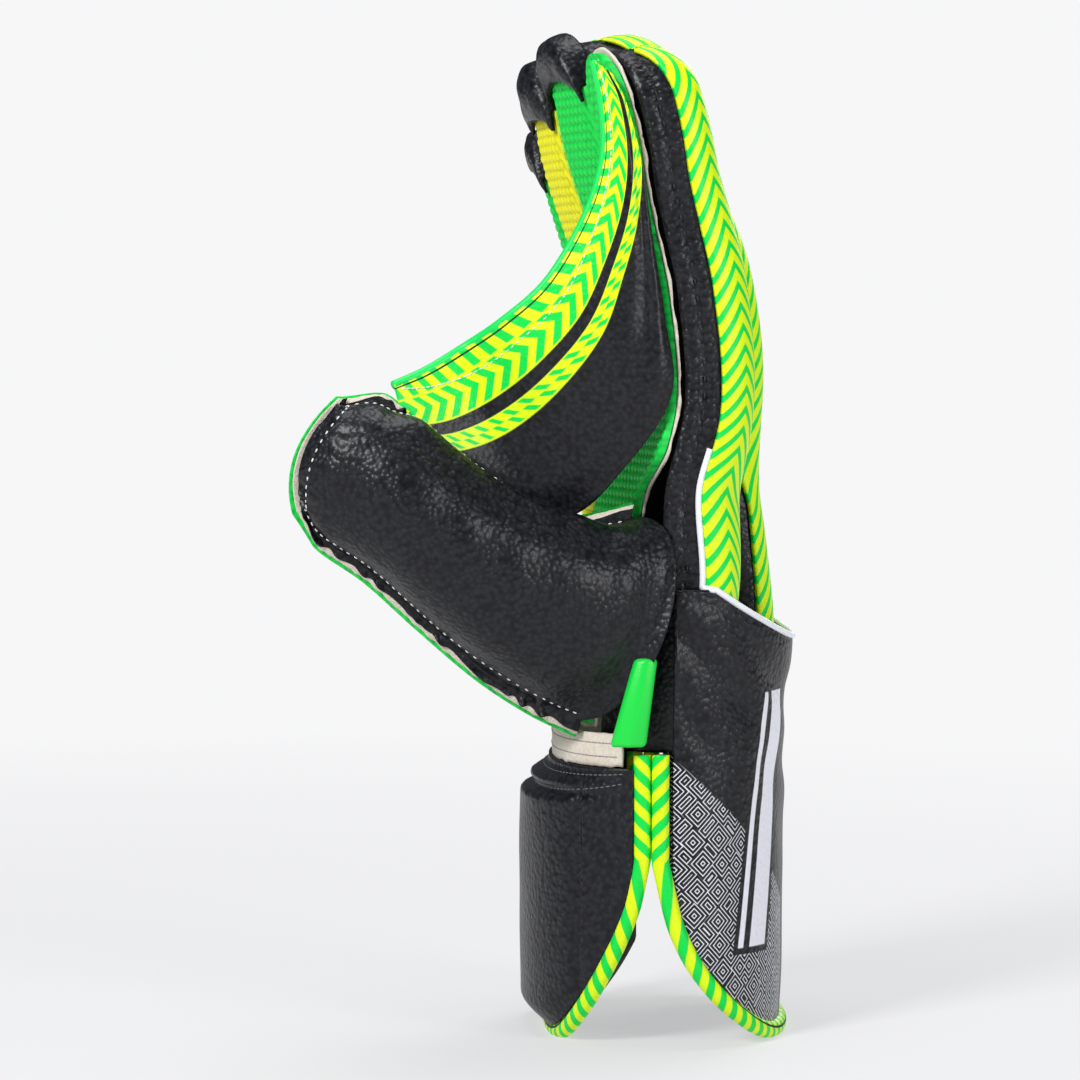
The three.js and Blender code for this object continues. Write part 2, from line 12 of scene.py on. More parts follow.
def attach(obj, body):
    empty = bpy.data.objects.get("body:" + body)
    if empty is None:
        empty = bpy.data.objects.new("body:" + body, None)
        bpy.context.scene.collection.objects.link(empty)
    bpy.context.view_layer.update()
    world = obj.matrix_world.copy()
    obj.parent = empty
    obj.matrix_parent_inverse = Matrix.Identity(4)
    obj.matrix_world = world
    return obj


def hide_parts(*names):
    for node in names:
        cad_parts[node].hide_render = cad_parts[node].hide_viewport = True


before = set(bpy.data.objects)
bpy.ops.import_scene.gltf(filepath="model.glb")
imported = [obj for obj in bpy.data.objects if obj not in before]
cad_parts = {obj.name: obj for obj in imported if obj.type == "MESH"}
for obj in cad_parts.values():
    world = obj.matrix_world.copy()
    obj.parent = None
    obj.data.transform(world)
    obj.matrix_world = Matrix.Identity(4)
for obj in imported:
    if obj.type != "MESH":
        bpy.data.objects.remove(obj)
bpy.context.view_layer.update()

# Camera, floor and light.
# The photograph looks level at the thumb side from far off, against white, with soft light from the
# front left that leaves long highlights on the glossy leather.
PHOTO_PIXEL = 0.3078  # mm of glove in one pixel of the photograph
PHOTO_SIZE = 1080
LENS = 135
SENSOR = 36
VIEW_TILT = math.radians(3)
VIEW_CENTRE = Vector((-0.0016, -0.02, 0.1548))
ROOM = (0.10, 0.105, 0.12, 1)
WALL = (0.93, 0.93, 0.94, 1)
FLOOR = (0.3, 0.3, 0.3, 1)
FLOOR_GLOW = (0.50, 0.50, 0.51, 1)
FLOOR_FADE = (0.55, 0.8)  # metres from the glove where the floor turns into the wall, and how softly

view_from = Vector((0, -math.cos(VIEW_TILT), math.sin(VIEW_TILT)))
camera_data = bpy.data.cameras.new("camera")
camera_data.lens = LENS
camera_data.sensor_width = SENSOR
camera = bpy.data.objects.new("camera", camera_data)
camera.location = VIEW_CENTRE + view_from * (PHOTO_SIZE * PHOTO_PIXEL * 0.001 * LENS / SENSOR)
camera.rotation_euler = (-view_from).to_track_quat("-Z", "Y").to_euler()
bpy.context.collection.objects.link(camera)
bpy.context.scene.camera = camera
bpy.context.scene.view_settings.view_transform = "Standard"


def soft_light(name, place, size, power):
    data = bpy.data.lights.new(name, "AREA")
    data.size = size
    data.energy = power
    light = bpy.data.objects.new(name, data)
    light.location = place
    light.rotation_euler = (Vector((0, 0, 0.15)) - Vector(place)).to_track_quat("-Z", "Y").to_euler()
    bpy.context.collection.objects.link(light)


soft_light("front_left", (-0.8, -1.05, 1.0), 0.38, 21)
soft_light("front_right", (1.1, -1.0, 0.5), 0.4, 8)
soft_light("above", (0.1, 0.1, 1.5), 0.8, 10)
soft_light("behind", (0.6, 1.2, 0.8), 0.7, 9)

# The room is dim behind the lights, so that black leather stays black, and its far wall is white.
world = bpy.data.worlds.new("studio")
world.use_nodes = True
room = world.node_tree
seen = room.nodes.new("ShaderNodeLightPath")
wall_tone = room.nodes.new("ShaderNodeMix")
wall_tone.data_type = "RGBA"
wall_tone.inputs[6].default_value = ROOM
wall_tone.inputs[7].default_value = WALL
room.links.new(seen.outputs["Is Camera Ray"], wall_tone.inputs[0])
room.links.new(wall_tone.outputs[2], room.nodes["Background"].inputs["Color"])
bpy.context.scene.world = world


class Tone:
    """A number or colour inside a finish. Arithmetic on it adds the Math nodes."""

    def __init__(self, finish, socket):
        self.finish = finish
        self.socket = socket

    def math(self, operation, first, second=0.0, clamp=False):
        settings = {"operation": operation, "use_clamp": clamp}
        return self.finish.node("Math", settings, {0: first, 1: second})

    def __add__(self, other):
        return self.math("ADD", self, other)

    def __sub__(self, other):
        return self.math("SUBTRACT", self, other)

    def __rsub__(self, other):
        return self.math("SUBTRACT", other, self)

    def __mul__(self, other):
        return self.math("MULTIPLY", self, other)

    def __truediv__(self, other):
        return self.math("DIVIDE", self, other)

    __radd__ = __add__
    __rmul__ = __mul__

    def distance(self):
        return self.math("ABSOLUTE", self)

    def cycle(self):
        return self.math("FRACT", self)

    def above(self, edge, soft):
        """1 where the tone is above an edge and 0 below it, with a soft step between."""
        return self.math("ADD", self * (1 / soft), 0.5 - edge / soft, clamp=True)

    def between(self, low, high, soft):
        return self.above(low, soft) * (1 - self.above(high, soft))


class Finish:
    """A material. Its node method adds one node, sets it up and feeds its sockets."""

    def __init__(self, name, color, roughness, **constants):
        self.material = bpy.data.materials.new(name)
        self.material.use_nodes = True
        self.tree = self.material.node_tree
        self.shader = self.tree.nodes["Principled BSDF"]
        self.feed(self.shader.inputs["Base Color"], (*color, 1))
        self.feed(self.shader.inputs["Roughness"], roughness)
        for socket, value in constants.items():
            self.feed(self.shader.inputs[socket.replace("_", " ")], value)

    def feed(self, socket, value):
        if isinstance(value, Tone):
            self.tree.links.new(value.socket, socket)
        else:
            socket.default_value = value

    def node(self, kind, settings, sockets, output=0):
        node = self.tree.nodes.new("ShaderNode" + kind)
        for key, value in settings.items():
            setattr(node, key, value)
        for key, value in sockets.items():
            self.feed(node.inputs[key], value)
        return Tone(self, node.outputs[output])

    def place(self):
        return self.node("TexCoord", {}, {}, "Object")

    def chart(self):
        """The two directions of the piece's own map, in millimetres."""
        chart = self.node("UVMap", {"uv_map": "chart"}, {})
        return [self.node("SeparateXYZ", {}, {0: chart}, axis) for axis in ("X", "Y")]

    def mix(self, share, first, second):
        return self.node("Mix", {"data_type": "RGBA"}, {0: share, 6: first, 7: second}, 2)

    def noise(self, size, detail=3.0):
        """Soft noise with lumps of a size in millimetres."""
        sockets = {"Vector": self.place(), "Scale": 1000 / size, "Detail": detail}
        return self.node("TexNoise", {}, sockets)

    def cells(self, size):
        """Round cells of a size in millimetres, which melt into each other."""
        sockets = {"Vector": self.place(), "Scale": 1000 / size}
        return self.node("TexVoronoi", {"feature": "SMOOTH_F1"}, sockets)

    def relief(self, height, depth):
        """Bumps of a depth in millimetres on the shader's normal."""
        sockets = {"Height": height, "Distance": depth * 0.001}
        self.feed(self.shader.inputs["Normal"], self.node("Bump", {}, sockets))


floor_finish = Finish("pale_floor", FLOOR[:3], 0.95, Emission_Strength=1.0, Specular_IOR_Level=0.0)
way_off = floor_finish.node("VectorMath", {"operation": "LENGTH"}, {0: floor_finish.place()}, "Value")
fade = way_off.above(*FLOOR_FADE)
floor_base = floor_finish.mix(fade, FLOOR, (0, 0, 0, 1))
floor_finish.feed(floor_finish.shader.inputs["Base Color"], floor_base)
floor_glow = floor_finish.mix(fade, FLOOR_GLOW, WALL)
floor_finish.feed(floor_finish.shader.inputs["Emission Color"], floor_glow)
floor_shape = bmesh.new()
bmesh.ops.create_grid(floor_shape, x_segments=1, y_segments=1, size=6)
floor_mesh = bpy.data.meshes.new("floor")
floor_shape.to_mesh(floor_mesh)
floor_shape.free()
floor_mesh.materials.append(floor_finish.material)
floor = bpy.data.objects.new("floor", floor_mesh)
bpy.context.collection.objects.link(floor)

# Palm rubber.
# One cupped sheet of moulded rubber with round pimples, cut into four fingers, glued and sewn to its
# backing. The ring finger is moulded in lime and the others in green, both darkened between the pimples by
# painted shade.
GLOVE_LENGTH = 310
HAND_DEPTH = 80
HAND_WIDTH = 100
RUBBER = 2.2
SLIT = 1.6
PIMPLE_PITCH = 3.1
PIMPLE_HEIGHT = 1.15
CROTCH = 0.645  # height over GLOVE_LENGTH where the fingers part
PALM_BOTTOM = 0.318
TIP_ROUND = 0.055
THUMB_GAP = 0.13
ORIGIN = Vector((-1.825, 11.506, 0))  # the part's own origin, from the middle of the glove
GREEN = (0.0, 0.68, 0.065)
LIME = (0.70, 0.90, 0.005)
BLACK = (0.004, 0.004, 0.006)
# Colour of the painted sheen on the tops of the black leather's pebbles.
PEBBLE_TOP_SHEEN = (0.019, 0.020, 0.026, 1)
PALM = {
    "height": (0.27, 0.355, 0.45, 0.55, 0.64, 0.74, 0.8, 0.845, 0.89, 0.94, 1.0),
    "index": (0.27, 0.33, 0.42, 0.42, 0.49, 0.46, 0.41, 0.37, 0.34, 0.29, 0.22),
    "inner": (0.06, 0.11, 0.2, 0.3, 0.38, 0.36, 0.29, 0.23, 0.18, 0.13, 0.06),
    "outer": (0.05, 0.07, 0.14, 0.2, 0.26, 0.22, 0.14, 0.08, 0.03, 0.0, -0.04),
    "little": (0.28, 0.27, 0.26, 0.24, 0.22, 0.16, 0.1, 0.05, 0.02, -0.01, -0.05),
}
FINGER_LINES = {"crotch": (-0.5, -0.25, 0, 0.25, 0.48), "tip": (-0.53, -0.27, 0.01, 0.29, 0.54)}
FINGERS = ("index", "middle", "ring", "little")
FINGER_TIPS = (0.978, 0.994, 0.975, 0.91)


def lerp(a, b, share):
    return a + (b - a) * share


def smooth(value, low, high):
    share = min(max((value - low) / (high - low), 0), 1)
    return share * share * (3 - 2 * share)


def read(table, key, column, at):
    """Value of one column of a table at a place along it, on a smooth curve through its rows."""
    keys, values = table[key], table[column]
    last = len(keys) - 1
    i = 0
    while i < last - 1 and at > keys[i + 1]:
        i += 1

    def slope(k):
        low, high = max(k - 1, 0), min(k + 1, last)
        return (values[high] - values[low]) / max(keys[high] - keys[low], 1e-6)

    width = keys[i + 1] - keys[i]
    t = min(max((at - keys[i]) / width, 0), 1)
    ends = (2 * t**3 - 3 * t**2 + 1) * values[i] + (3 * t**2 - 2 * t**3) * values[i + 1]
    return ends + width * ((t**3 - 2 * t**2 + t) * slope(i) + (t**3 - t**2) * slope(i + 1))


@lru_cache(maxsize=None)
def palm_columns(z):
    columns = ("index", "inner", "outer", "little")
    return [read(PALM, "height", column, z / GLOVE_LENGTH) for column in columns]


def palm_depth(y, z):
    """How far the rubber's face lies behind the wrist pad, a cubic through the table's four columns."""
    t = 3 * min(max(y / HAND_WIDTH + 0.5, -0.1), 1.1)
    a, b, c, d = palm_columns(z)
    x = -a * (t - 1) * (t - 2) * (t - 3) / 6 + b * t * (t - 2) * (t - 3) / 2
    x += -c * t * (t - 1) * (t - 3) / 2 + d * t * (t - 1) * (t - 2) / 6
    return x * HAND_DEPTH


def palm_slopes(y, z):
    across = palm_depth(y + 0.5, z) - palm_depth(y - 0.5, z)
    return across, palm_depth(y, z + 0.5) - palm_depth(y, z - 0.5)


def palm_point(y, z, lift):
    across, along = palm_slopes(y, z)
    return Vector((palm_depth(y, z), y, z)) + Vector((1, -across, -along)).normalized() * lift


def finger_line(k, z):
    """Place across of the line before finger k at a height."""
    up = smooth(z / GLOVE_LENGTH, CROTCH, 1)
    low = smooth(z / GLOVE_LENGTH, 0.28, CROTCH)
    return HAND_WIDTH * lerp(FINGER_LINES["crotch"][k], FINGER_LINES["tip"][k], up) * lerp(0.93, 1, low)


def thumb_step(z):
    at = z / GLOVE_LENGTH
    return THUMB_GAP * HAND_WIDTH * smooth(at, 0.27, 0.3) * (1 - smooth(at, 0.545, 0.595))


def finger_sheet(f, u, v, lift, lip=0.0):
    """Point of the palm sheet in the column of finger f, from the wrist at v = 0 to the tip at v = 1."""
    crotch = CROTCH * GLOVE_LENGTH
    arc = math.sqrt(max(1 - abs(2 * u - 1) ** 2.2, 0.02))
    tip = FINGER_TIPS[f] * GLOVE_LENGTH + lip - TIP_ROUND * GLOVE_LENGTH * (1 - arc)
    bottom = PALM_BOTTOM * GLOVE_LENGTH - lip
    z = lerp(bottom, crotch, v * 2) if v < 0.5 else lerp(crotch, tip, v * 2 - 1)
    gap = (SLIT / 2 - lip * 0.4) * smooth(z, crotch - 1, crotch + 4)
    near = finger_line(f, z) + (thumb_step(z) - lip if f == 0 else gap)
    far = finger_line(f + 1, z) + (lip if f == 3 else -gap)
    return palm_point(lerp(near, far, u), z, lift)


def pimples(across, along):
    """Height from 0 to 1 of the round pimples, which lie in a honeycomb."""
    best = PIMPLE_PITCH
    for shift in (0, 0.5):
        column = across / PIMPLE_PITCH + shift
        row = along / (PIMPLE_PITCH * math.sqrt(3)) + shift
        beside = (column - round(column)) * PIMPLE_PITCH
        above = (row - round(row)) * PIMPLE_PITCH * math.sqrt(3)
        best = min(best, math.hypot(beside, above))
    return math.sqrt(max(1 - (best / (0.54 * PIMPLE_PITCH)) ** 2, 0))


def pimple_shade_tone(height):
    """Chart value along the rubber's colours, a painted shade: dark between the pimples and full on their
    tops.
    """
    return 0.15 + 0.85 * height


def bend(shape, place, columns, rows, chart=None, wall=True):
    """Adds a grid bent to place(u, v, w): a wall between w = 0 and w = 1, or its outer face alone."""
    chart = lru_cache(maxsize=None)(chart or (lambda u, v: (u, v)))
    layer = shape.loops.layers.uv.get("chart") or shape.loops.layers.uv.new("chart")
    made = bmesh.ops.create_grid(shape, x_segments=columns, y_segments=rows, size=0.5)
    faces = {face for vert in made["verts"] for face in vert.link_faces}
    verts = list(made["verts"])
    for vert in verts:
        vert.co.z = 1
    if wall:
        grown = bmesh.ops.extrude_face_region(shape, geom=list(faces))["geom"]
        inner = [item for item in grown if isinstance(item, bmesh.types.BMVert)]
        for vert in inner:
            vert.co.z = 0
        verts += inner
        faces = {face for vert in verts for face in vert.link_faces}
    for face in faces:
        for loop in face.loops:
            loop[layer].uv = chart(loop.vert.co.x + 0.5, loop.vert.co.y + 0.5)
    for vert in verts:
        point = place(vert.co.x + 0.5, vert.co.y + 0.5, vert.co.z)
        vert.co = (point + ORIGIN) * 0.001


def piece(name, shape, finish, replaces=(), merge=2e-6, recalc=True):
    """Closes the seams of a shape and makes it a piece of the glove."""
    bmesh.ops.remove_doubles(shape, verts=shape.verts, dist=merge)
    if recalc:
        bmesh.ops.recalc_face_normals(shape, faces=shape.faces)
    mesh = bpy.data.meshes.new(name)
    shape.to_mesh(mesh)
    shape.free()
    mesh.materials.append(finish.material)
    mesh.shade_smooth()
    made = bpy.data.objects.new(name, mesh)
    bpy.context.collection.objects.link(made)
    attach(made, "root")
    if replaces:
        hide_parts(*replaces)
    return made


rubber = Finish("moulded_rubber", GREEN, 0.55, Specular_IOR_Level=0.4)
across, along = rubber.chart()
ring_panel = across.between(2.0, 3.0, 0.01)
# Each colour runs from a painted shade, dark between the pimples, to full colour on their tops.
green_with_pimple_shade = rubber.mix(along, (0.0, 0.22, 0.03, 1), (0.0, 0.72, 0.07, 1))
lime_with_pimple_shade = rubber.mix(along, (0.42, 0.36, 0.0, 1), (0.86, 0.84, 0.01, 1))
rubber.feed(rubber.shader.inputs["Base Color"], rubber.mix(ring_panel, green_with_pimple_shade, lime_with_pimple_shade))
rubber.relief(rubber.noise(0.5, 4.0), 0.05)

palm = bmesh.new()
for f in range(4):
    def rubber_face(u, v, w, f=f):
        base = finger_sheet(f, u, v, 0)
        free_near, free_far = f == 0 or v > 0.5, f == 3 or v > 0.5
        rim = min(u * 12 if free_near else 1, (1 - u) * 12 if free_far else 1, (1 - v) * 60, 1)
        return finger_sheet(f, u, v, 0.4 - PIMPLE_HEIGHT * pimples(base.y, base.z) * rim)

    def rubber_chart(u, v, f=f):
        base = finger_sheet(f, u, v, 0)
        return f + u, pimple_shade_tone(pimples(base.y, base.z))

    bend(palm, rubber_face, 46, 380, rubber_chart, wall=False)
bmesh.ops.remove_doubles(palm, verts=palm.verts, dist=2e-6)
rim = [edge for edge in palm.edges if edge.is_boundary]
behind = bmesh.ops.extrude_edge_only(palm, edges=rim)["geom"]
behind = [item for item in behind if isinstance(item, bmesh.types.BMVert)]
bmesh.ops.translate(palm, verts=behind, vec=(RUBBER * 0.0009, 0, 0))
piece("palm_rubber_face", palm, rubber, ["palm_rubber"])

# Palm backing.
# Pale suede-faced leather behind the rubber. Its raw edge is cut by hand and shows as an uneven
# cream line beside the green along every finger.
BACKING = 1.3
BACKING_LIP = 1.2
SHEET_SEAT = 0.8

suede = Finish("raw_leather", (0.70, 0.62, 0.52), 0.95, Sheen_Weight=0.3)
fibre = suede.noise(0.9, 6.0)
cream = suede.mix(fibre, (0.52, 0.45, 0.36, 1), (0.84, 0.77, 0.67, 1))
suede.feed(suede.shader.inputs["Base Color"], cream)
suede.relief(fibre + suede.noise(3.5) * 0.6, 0.35)

backing = bmesh.new()
for f in range(4):
    def backing_face(u, v, w, f=f):
        ragged = 0.9 + 0.8 * noise.noise(Vector((v * 70, u * 3, f * 9)))
        start = RUBBER + SHEET_SEAT - 0.3
        cut = 0.62 + 0.55 * noise.noise(Vector((v * 24, u * 2, f * 5)))
        return finger_sheet(f, u, v, lerp(start + BACKING * cut, start, w), ragged)

    bend(backing, backing_face, 10, 320)
piece("palm_backing_edge", backing, suede, ["palm_backing"], merge=0)

# Finger stalls.
# Four tubes of glossy black leather, turned and sewn to the edge of the backing. Each closes in a rounded
# tip, and a stitched seam runs along its side.
LEATHER = 1.8
STALL_LIFT = 5.2
STALLS = {
    "base": (0.44, 0.405, 0.405, 0.44),
    "depths": ((0.44, 0.34, 0.33), (0.75, 0.48, 0.42), (0.8, 0.52, 0.44), (0.7, 0.46, 0.36)),
}
VALLEY_ANGLE = 0.62
CAP_START = 2 / 3
SIDE_SEAM = 0.055  # share of the way round a stall where its seam runs


def stall_point(f, u, v, inset):
    base, tip = STALLS["base"][f] * GLOVE_LENGTH, FINGER_TIPS[f] * GLOVE_LENGTH
    cap = tip - TIP_ROUND * GLOVE_LENGTH
    turn = max(v - CAP_START, 0) / (1 - CAP_START) * math.pi / 2
    z = lerp(cap, tip - inset, math.sin(turn)) if turn > 0 else lerp(base, cap, v / CAP_START)
    at = z / GLOVE_LENGTH
    depths = STALLS["depths"][f]
    share = lerp(depths[0], depths[1], smooth(at, base / GLOVE_LENGTH, CROTCH))
    share = lerp(share, depths[2], smooth(at, CROTCH, cap / GLOVE_LENGTH))
    depth = (share * HAND_DEPTH - STALL_LIFT - inset) * math.cos(turn)
    left, right = finger_line(f, z), finger_line(f + 1, z)
    centre, half = (left + right) / 2, ((right - left) / 2 - SLIT / 2 - inset) * math.cos(turn)
    valley = VALLEY_ANGLE * (1 - smooth(at, CROTCH - 0.09, CROTCH - 0.01))
    start, end = (0 if f == 0 else valley), math.pi - (0 if f == 3 else valley)
    y = centre - half * math.cos(math.pi * u)
    lift = STALL_LIFT * math.hypot(1, *palm_slopes(y, z))
    slope = (palm_depth(centre, z + 4) - palm_depth(centre, z - 4)) / 8
    rise = depth * max(math.sin(lerp(start, end, u)), 0) ** 0.75
    return Vector((palm_depth(y, z) + lift, y, z)) + Vector((1, 0, -slope)).normalized() * rise


def creases(point, size, depth):
    """Soft dents and folds of worn leather, of a size and depth in millimetres."""
    return depth * noise.noise(Vector((point.x / size, point.y / size, point.z / (size * 1.8))))


def grained_leather(name, color, gloss, grain=1.4, depth=0.2):
    """Pebbled cowhide with a thin coat: cells for the grain, broad noise for stretched places, and a
    painted sheen that lightens the tops of the pebbles in the black base colour.
    """
    leather = Finish(name, color, gloss, Coat_Roughness=0.3, Specular_IOR_Level=0.27)
    wear = leather.noise(14, 5.0)
    pebble = 1 - leather.cells(grain)
    # The base black turns lighter on the tops of the pebbles: a painted sheen, not a colour of the leather.
    leather.dark = leather.mix(pebble.above(0.68, 0.7), (0.002, 0.002, 0.003, 1), PEBBLE_TOP_SHEEN)
    leather.feed(leather.shader.inputs["Roughness"], gloss - 0.06 + wear * 0.14)
    leather.feed(leather.shader.inputs["Coat Weight"], wear * 0.12)
    leather.relief(pebble + leather.noise(6.0, 4.0) * 0.45, depth * 1.7)
    return leather


black_leather = grained_leather("black_leather", BLACK, 0.36)
black_leather.feed(black_leather.shader.inputs["Base Color"], black_leather.dark)
for f, finger in enumerate(FINGERS):
    stall = bmesh.new()

    def stall_face(u, v, w, f=f):
        pucker = 0.6 + 0.4 * math.sin(v * 250)
        seam = -0.8 * pucker * math.exp(-((u - SIDE_SEAM) / 0.016) ** 2) * (1 - smooth(v, 0.8, 0.92))
        fold = creases(stall_point(f, u, v, 0), 9, 0.7) if v < 0.98 else 0
        return stall_point(f, u, v, lerp(LEATHER, max(fold, -0.35) - seam, w))

    bend(stall, stall_face, 72, 170)
    name = f"finger_stall_{finger}"
    piece(f"{name}_leather", stall, black_leather, [name])

# Fingertip caps.
# A hood of the stall's leather folded forward over the tip of the rubber and sewn down, on every
# finger but the index, where the web is sewn in.
HOOD = {
    "along": (0, 0.12, 0.45, 0.78, 0.9, 1),
    "rise": (-1, -0.93, -0.45, 0, 0.06, 0.04),
    "full": (0, 0.55, 1, 0.55, 0, 0),
    "back": (0, 0, 0, 0.5, 4.0, 6.4),
}
HOOD_WALL = 1.2
for f, reach, fullness in ((1, 12, 3.0), (2, 17, 4.6), (3, 12, 2.4)):
    hood = bmesh.new()

    def hood_face(u, v, w, f=f, reach=reach, fullness=fullness):
        across = max(math.sin(math.pi * u), 0) ** 0.55
        top = finger_sheet(f, u, 1.0, 0, 0.4)
        z = top.z + read(HOOD, "along", "rise", v) * reach * lerp(0.35, 1, across)
        out = -0.7 - fullness * across * read(HOOD, "along", "full", v) + read(HOOD, "along", "back", v)
        point = palm_point(top.y, z, out - HOOD_WALL * w)
        rise = HOOD_WALL * w * smooth(v, 0.6, 0.9)
        return point + Vector((creases(point, 5, 0.9) * w, 0, rise))

    bend(hood, hood_face, 30, 40)
    piece(f"finger_cap_{FINGERS[f]}", hood, black_leather)

# Printed strips along the backs of the fingers.
# Thin leather printed with green and lime chevrons that point to the fingertip, sewn on over the stall.
# On the index finger a white line is printed beside it down to the knuckle.
STRIP = 1.2
STRIP_ARCS = ((0.125, 0.8), (0.15, 0.85), (0.15, 0.85), (0.15, 0.85))
STRIP_MAP = 40  # mm: width that the chart gives a strip
STRIP_MIDDLE = STRIP_MAP / 2
STRIP_APEX = (9, 20, 20, 20)  # mm from the near edge to the points of the chevrons
CHEVRON_PITCH = 6.4


def chevrons(finish, across, along, apex, slope, pitch, share=0.42):
    """1 on the green of a chevron print, 0 on its lime."""
    phase = (along + (across - apex).distance() * slope) / pitch
    return phase.cycle().between(0.5 - share / 2, 0.5 + share / 2, 0.05)


def printed(name):
    return grained_leather(name, LIME, 0.42, 0.9, 0.06)


strip_print = printed("printed_strip")
across, along = strip_print.chart()
ink = chevrons(strip_print, across, along, STRIP_MIDDLE, 1.15, CHEVRON_PITCH)
color = strip_print.mix(ink, (*LIME, 1), (*GREEN, 1))
strip_print.feed(strip_print.shader.inputs["Base Color"], color)
for f, finger in enumerate(FINGERS):
    strip = bmesh.new()

    def strip_face(u, v, w, f=f):
        return stall_point(f, lerp(*STRIP_ARCS[f], u), v * 0.9, lerp(-0.4, -0.6 - STRIP * 0.7, w))

    def strip_chart(u, v, f=f):
        return u * STRIP_MAP + STRIP_MIDDLE - STRIP_APEX[f], stall_point(f, 0.5, v * 0.9, 0).z

    bend(strip, strip_face, 24, 110, strip_chart)
    name = f"finger_strip_{finger}"
    piece(f"{name}_print", strip, strip_print, [name])

# Thumb.
# A rubber sheet on its backing, under a stuffed dome of black leather whose edge is gathered and
# stitched in white all round. The rubber and the raw leather show as thin lines outside the gathers.
THUMB_LENGTH = 112
THUMB_PUFF = 25
THUMB = {
    "along": (0, 0.15, 0.3, 0.5, 0.7, 0.88, 1),
    "lower_x": (0.1, -0.03, -0.17, -0.33, -0.47, -0.6, -0.635),
    "lower_z": (0.86, 0.925, 1.02, 1.16, 1.29, 1.385, 1.45),
    "upper_x": (0.25, 0.08, -0.04, -0.19, -0.32, -0.42, -0.51),
    "upper_z": (1.47, 1.435, 1.47, 1.57, 1.68, 1.77, 1.785),
    "out": (0.37, 0.4, 0.43, 0.47, 0.51, 0.54, 0.56),
}
THUMB_NORMAL = Vector((0.18, -1, 0.12)).normalized()
THUMB_BASE_NORMAL = Vector((0.8, -0.58, 0.12)).normalized()
THUMB_SEAT = 4.1  # mm from the front of the thumb's rubber to the dome's edge
THUMB_LIP = 1.9
GATHER = 0.05  # share of the way over the dome that the gathered edge takes


def thumb_edge(side, at):
    x, z = read(THUMB, "along", side + "_x", at), read(THUMB, "along", side + "_z", at)
    return Vector((x * THUMB_LENGTH, -read(THUMB, "along", "out", at) * HAND_WIDTH, z * THUMB_LENGTH))


def thumb_point(across, at, grow=0.0):
    lower, upper = thumb_edge("lower", at), thumb_edge("upper", at)
    wide = upper - lower
    across = 0.5 + (across - 0.5) * (1 - 0.14 * smooth(at, 0.84, 1) ** 2)
    point = lower + wide * (across + grow * (2 * across - 1) / wide.length)
    way = (thumb_edge("upper", 1) - thumb_edge("upper", 0.9)).normalized()
    bow = smooth(at, 0.75, 1) * (0.25 - (across - 0.5) ** 2) * 4
    return point + way * (0.07 * THUMB_LENGTH * bow + grow * smooth(at, 0.9, 1))


def thumb_dome(u, v, inset):
    inner = min(max((u - GATHER) / (1 - 2 * GATHER), 0), 1)
    margin = 0.045 + inset / (0.45 * THUMB_LENGTH)
    across = lerp(margin, 1 - margin, (1 - math.cos(math.pi * inner)) / 2)
    if u < GATHER:
        across = lerp(0.0, margin, u / GATHER)
    if u > 1 - GATHER:
        across = lerp(1.0, 1 - margin, (1 - u) / GATHER)
    end = min(v, 1 - inset / THUMB_LENGTH)
    close = math.sqrt(max(1 - smooth(end, 0.55, 1.04) ** 2, 0)) * lerp(0.85, 1, smooth(end, -0.05, 0.2))
    height = (THUMB_PUFF * (1.12 - 0.3 * end) * close - inset) * math.sin(math.pi * inner) ** 0.8
    way = THUMB_BASE_NORMAL.lerp(THUMB_NORMAL, smooth(end, 0, 0.45)).normalized()
    return thumb_point(across, end) + THUMB_NORMAL * THUMB_SEAT + way * max(height, 0)


thumb_front = bmesh.new()


def thumb_rubber(u, v, w):
    base = thumb_point(u, v, THUMB_LIP)
    rim = min(u * 15, (1 - u) * 15, (1 - v) * 25, 1)
    lift = 0.4 - PIMPLE_HEIGHT * pimples(base.x, base.z) * rim
    return base + THUMB_NORMAL * lerp(RUBBER, lift, w)


def thumb_chart(u, v):
    base = thumb_point(u, v, THUMB_LIP)
    return 1.5, pimple_shade_tone(pimples(base.x, base.z))


bend(thumb_front, thumb_rubber, 90, 200, thumb_chart)
piece("thumb_rubber_face", thumb_front, rubber, ["thumb_rubber"])

thumb_back = bmesh.new()


def thumb_backing(u, v, w):
    ragged = 1.1 + 0.5 * noise.noise(Vector((v * 40, u * 4, 3)))
    return thumb_point(u, v, ragged) + THUMB_NORMAL * lerp(RUBBER + 0.2, RUBBER + 1.5, w)


bend(thumb_back, thumb_backing, 12, 180)
piece("thumb_backing_edge", thumb_back, suede, ["thumb_backing"])

dome = bmesh.new()


def dome_face(u, v, w):
    """The stuffed dome, with gathers that ruffle its edge and run a short way into it."""
    point = thumb_dome(u, v, lerp(LEATHER, 0, w))
    rim = min(min(u, 1 - u) / GATHER, (1 - v) * THUMB_LENGTH / 3)
    turn = v * 70 if min(u, 1 - u) / GATHER < (1 - v) * THUMB_LENGTH / 3 else u * 34
    wave = math.sin(turn + 7 * noise.noise(point * 0.07)) * (0.6 + 1.2 * noise.noise(point * 0.11))
    ripple = (1.1 * wave + 0.3) * math.exp(-rim * 0.4)
    base_folds = 1.6 * math.sin(v * 38 + u * 6) * (1 - smooth(v, 0.04, 0.26)) * math.sin(math.pi * u)
    outward = (thumb_edge("upper", v) - thumb_edge("lower", v)).normalized() * (1 if u > 0.5 else -1)
    ruffle = (0.3 + 0.9 * wave) * (1 - smooth(rim, 0.5, 1.6))
    over = 4.6 * smooth(u, 0.72, 0.86) * (1 - smooth(u, 0.93, 0.96))
    over *= smooth(v, 0.06, 0.2) * (1 - smooth(v, 0.7, 0.86))
    lump = creases(point, 20, 2.0) + creases(point, 8, 0.45)
    return point + THUMB_NORMAL * ((ripple + lump + base_folds) * w) + outward * (ruffle + over)


bend(dome, dome_face, 130, 240)
piece("thumb_stall_leather", dome, black_leather, ["thumb_stall"])

